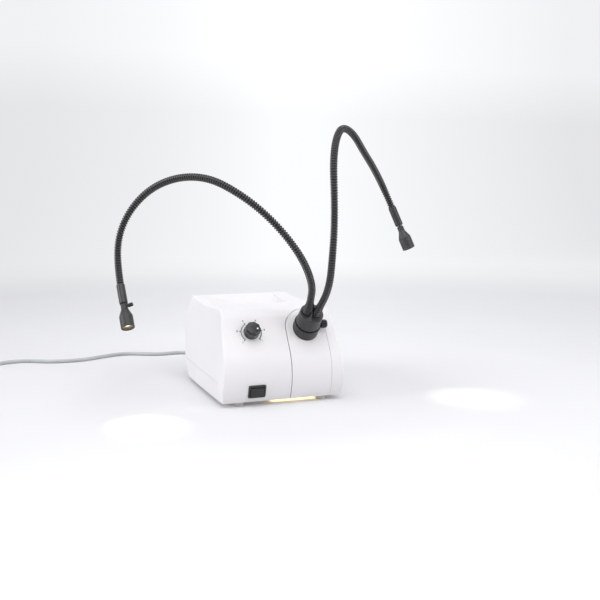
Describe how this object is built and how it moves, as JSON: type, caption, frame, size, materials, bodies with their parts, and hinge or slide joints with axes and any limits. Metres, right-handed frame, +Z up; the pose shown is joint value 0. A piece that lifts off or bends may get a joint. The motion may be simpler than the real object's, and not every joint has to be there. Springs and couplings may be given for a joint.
{
  "type": "fibre optic illuminator",
  "caption": "Bench light source with a sloping front, dimmer and rocker switch, a forked gooseneck light guide with lens heads, and a mains lead.",
  "frame": {"origin": "on the bench, under the middle of the unit and its arms, cord left out", "axes": "+Z up, +Y towards the back of the unit, +X to the right seen from the front"},
  "size_m": [0.7632, 0.7048, 0.4161],
  "materials": {
    "housing_plastic": "light grey-white, fine texture",
    "base_plastic": "light grey-white, fine texture",
    "pale_rubber": "soft",
    "zinc_screws": "zinc plated",
    "black_plastic": "satin black",
    "hose_black": "ribbed satin black",
    "white_mark": "white dot",
    "steel": "turned",
    "fibre_glass": "polished",
    "clear_glass": "clear",
    "reflector_glass": "coated",
    "ceramic": "ceramic",
    "sheet_steel": "zinc plated sheet",
    "panel_metal": "dark paint",
    "fan_plastic": "black",
    "copper_winding": "wrapped winding",
    "board_green": "solder mask",
    "spacer_brass": "turned",
    "sink_aluminium": "extruded",
    "lead_grey": "light grey cable",
    "moulded_grey": "moulded",
    "strap_black": "strap",
    "pin_brass": "plated"
  },
  "bodies": {
    "housing": {"upper_cover": "housing_plastic", "base_pan": "base_plastic", "rubber_feet": "pale_rubber", "housing_screws": "zinc_screws", "switch_frame": "black_plastic", "potentiometer": "fan_plastic", "dimmer_nut": "steel", "rear_panel": "panel_metal", "panel_screws": "zinc_screws", "fan_frame": "fan_plastic", "mains_inlet": "fan_plastic", "transformer_coil": "copper_winding", "transformer_bolt": "zinc_screws", "control_board": "board_green", "board_spacers": "spacer_brass", "heat_sink": "sink_aluminium", "lamp_baffle": "sheet_steel", "cord_connector": "moulded_grey", "mains_lead": "lead_grey", "lead_coil": "lead_grey", "lead_tail": "lead_grey", "lead_tie": "strap_black", "mains_plug": "moulded_grey", "plug_pins": "pin_brass"},
    "lamp_drawer": {"lamp_door": "housing_plastic", "lamp_drawer": "sheet_steel", "lamp_bracket": "sheet_steel", "lamp_reflector": "reflector_glass", "lamp_capsule": "clear_glass", "lamp_socket": "ceramic", "heat_filter": "clear_glass", "filter_holder": "sheet_steel", "port_collar": "black_plastic"},
    "collar_clamp": {"clamp_screw": "steel", "clamp_knob": "black_plastic"},
    "light_guide": {"guide_ferrule": "black_plastic", "fibre_input": "fibre_glass", "y_connector": "black_plastic", "left_gooseneck": "hose_black", "left_end_sleeve": "black_plastic", "left_tip_ferrule": "steel", "left_fibre_end": "fibre_glass", "right_gooseneck": "hose_black", "right_end_sleeve": "black_plastic", "right_tip_ferrule": "steel", "right_fibre_end": "fibre_glass"},
    "left_lens_head": {"left_lens_housing": "black_plastic", "left_lens": "clear_glass"},
    "right_lens_head": {"right_lens_housing": "black_plastic", "right_lens": "clear_glass"},
    "left_lens_clamp": {"left_lens_screw": "black_plastic"},
    "right_lens_clamp": {"right_lens_screw": "black_plastic"},
    "dimmer": {"dimmer_knob": "black_plastic", "knob_dot": "white_mark", "dimmer_shaft": "steel"},
    "rocker": {"switch_rocker": "black_plastic"},
    "fan": {"fan_rotor": "fan_plastic"}
  },
  "joints": [
    {"name": "drawer_slide", "type": "slide", "parent": "housing", "child": "lamp_drawer", "axis": [0, -1, 0], "range_m": [0, 0.06]},
    {"name": "collar_clamp_turn", "type": "hinge", "parent": "lamp_drawer", "child": "collar_clamp", "pos_m": [0.04496, -0.0768, 0.11696], "axis": [1, 0, 0], "continuous": true},
    {"name": "guide_slide", "type": "slide", "parent": "lamp_drawer", "child": "light_guide", "axis": [0, -0.7071, 0.7071], "range_m": [0, 0.04]},
    {"name": "left_lens_slide", "type": "slide", "parent": "light_guide", "child": "left_lens_head", "axis": [0.05, -0.5502, -0.8336], "range_m": [0, 0.008]},
    {"name": "right_lens_slide", "type": "slide", "parent": "light_guide", "child": "right_lens_head", "axis": [0.2587, -0.348, -0.9011], "range_m": [0, 0.008]},
    {"name": "left_lens_clamp_turn", "type": "hinge", "parent": "left_lens_head", "child": "left_lens_clamp", "pos_m": [-0.22475, -0.03535, 0.15115], "axis": [0.8039, -0.4731, 0.3605], "continuous": true},
    {"name": "right_lens_clamp_turn", "type": "hinge", "parent": "right_lens_head", "child": "right_lens_clamp", "pos_m": [0.21551, -0.05198, 0.2594], "axis": [0.3509, 0.903, -0.2479], "continuous": true},
    {"name": "dimmer_turn", "type": "hinge", "parent": "housing", "child": "dimmer", "pos_m": [-0.04274, -0.07167, 0.1087], "axis": [0, -0.8404, 0.542], "range_deg": [-78, 192]},
    {"name": "rocker_tilt", "type": "hinge", "parent": "housing", "child": "rocker", "pos_m": [-0.04194, -0.09596, 0.02432], "axis": [1, 0, 0], "range_deg": [0, 16]},
    {"name": "fan_spin", "type": "hinge", "parent": "housing", "child": "fan", "pos_m": [0.03976, 0.15292, 0.08], "axis": [0, 1, 0], "continuous": true}
  ]
}
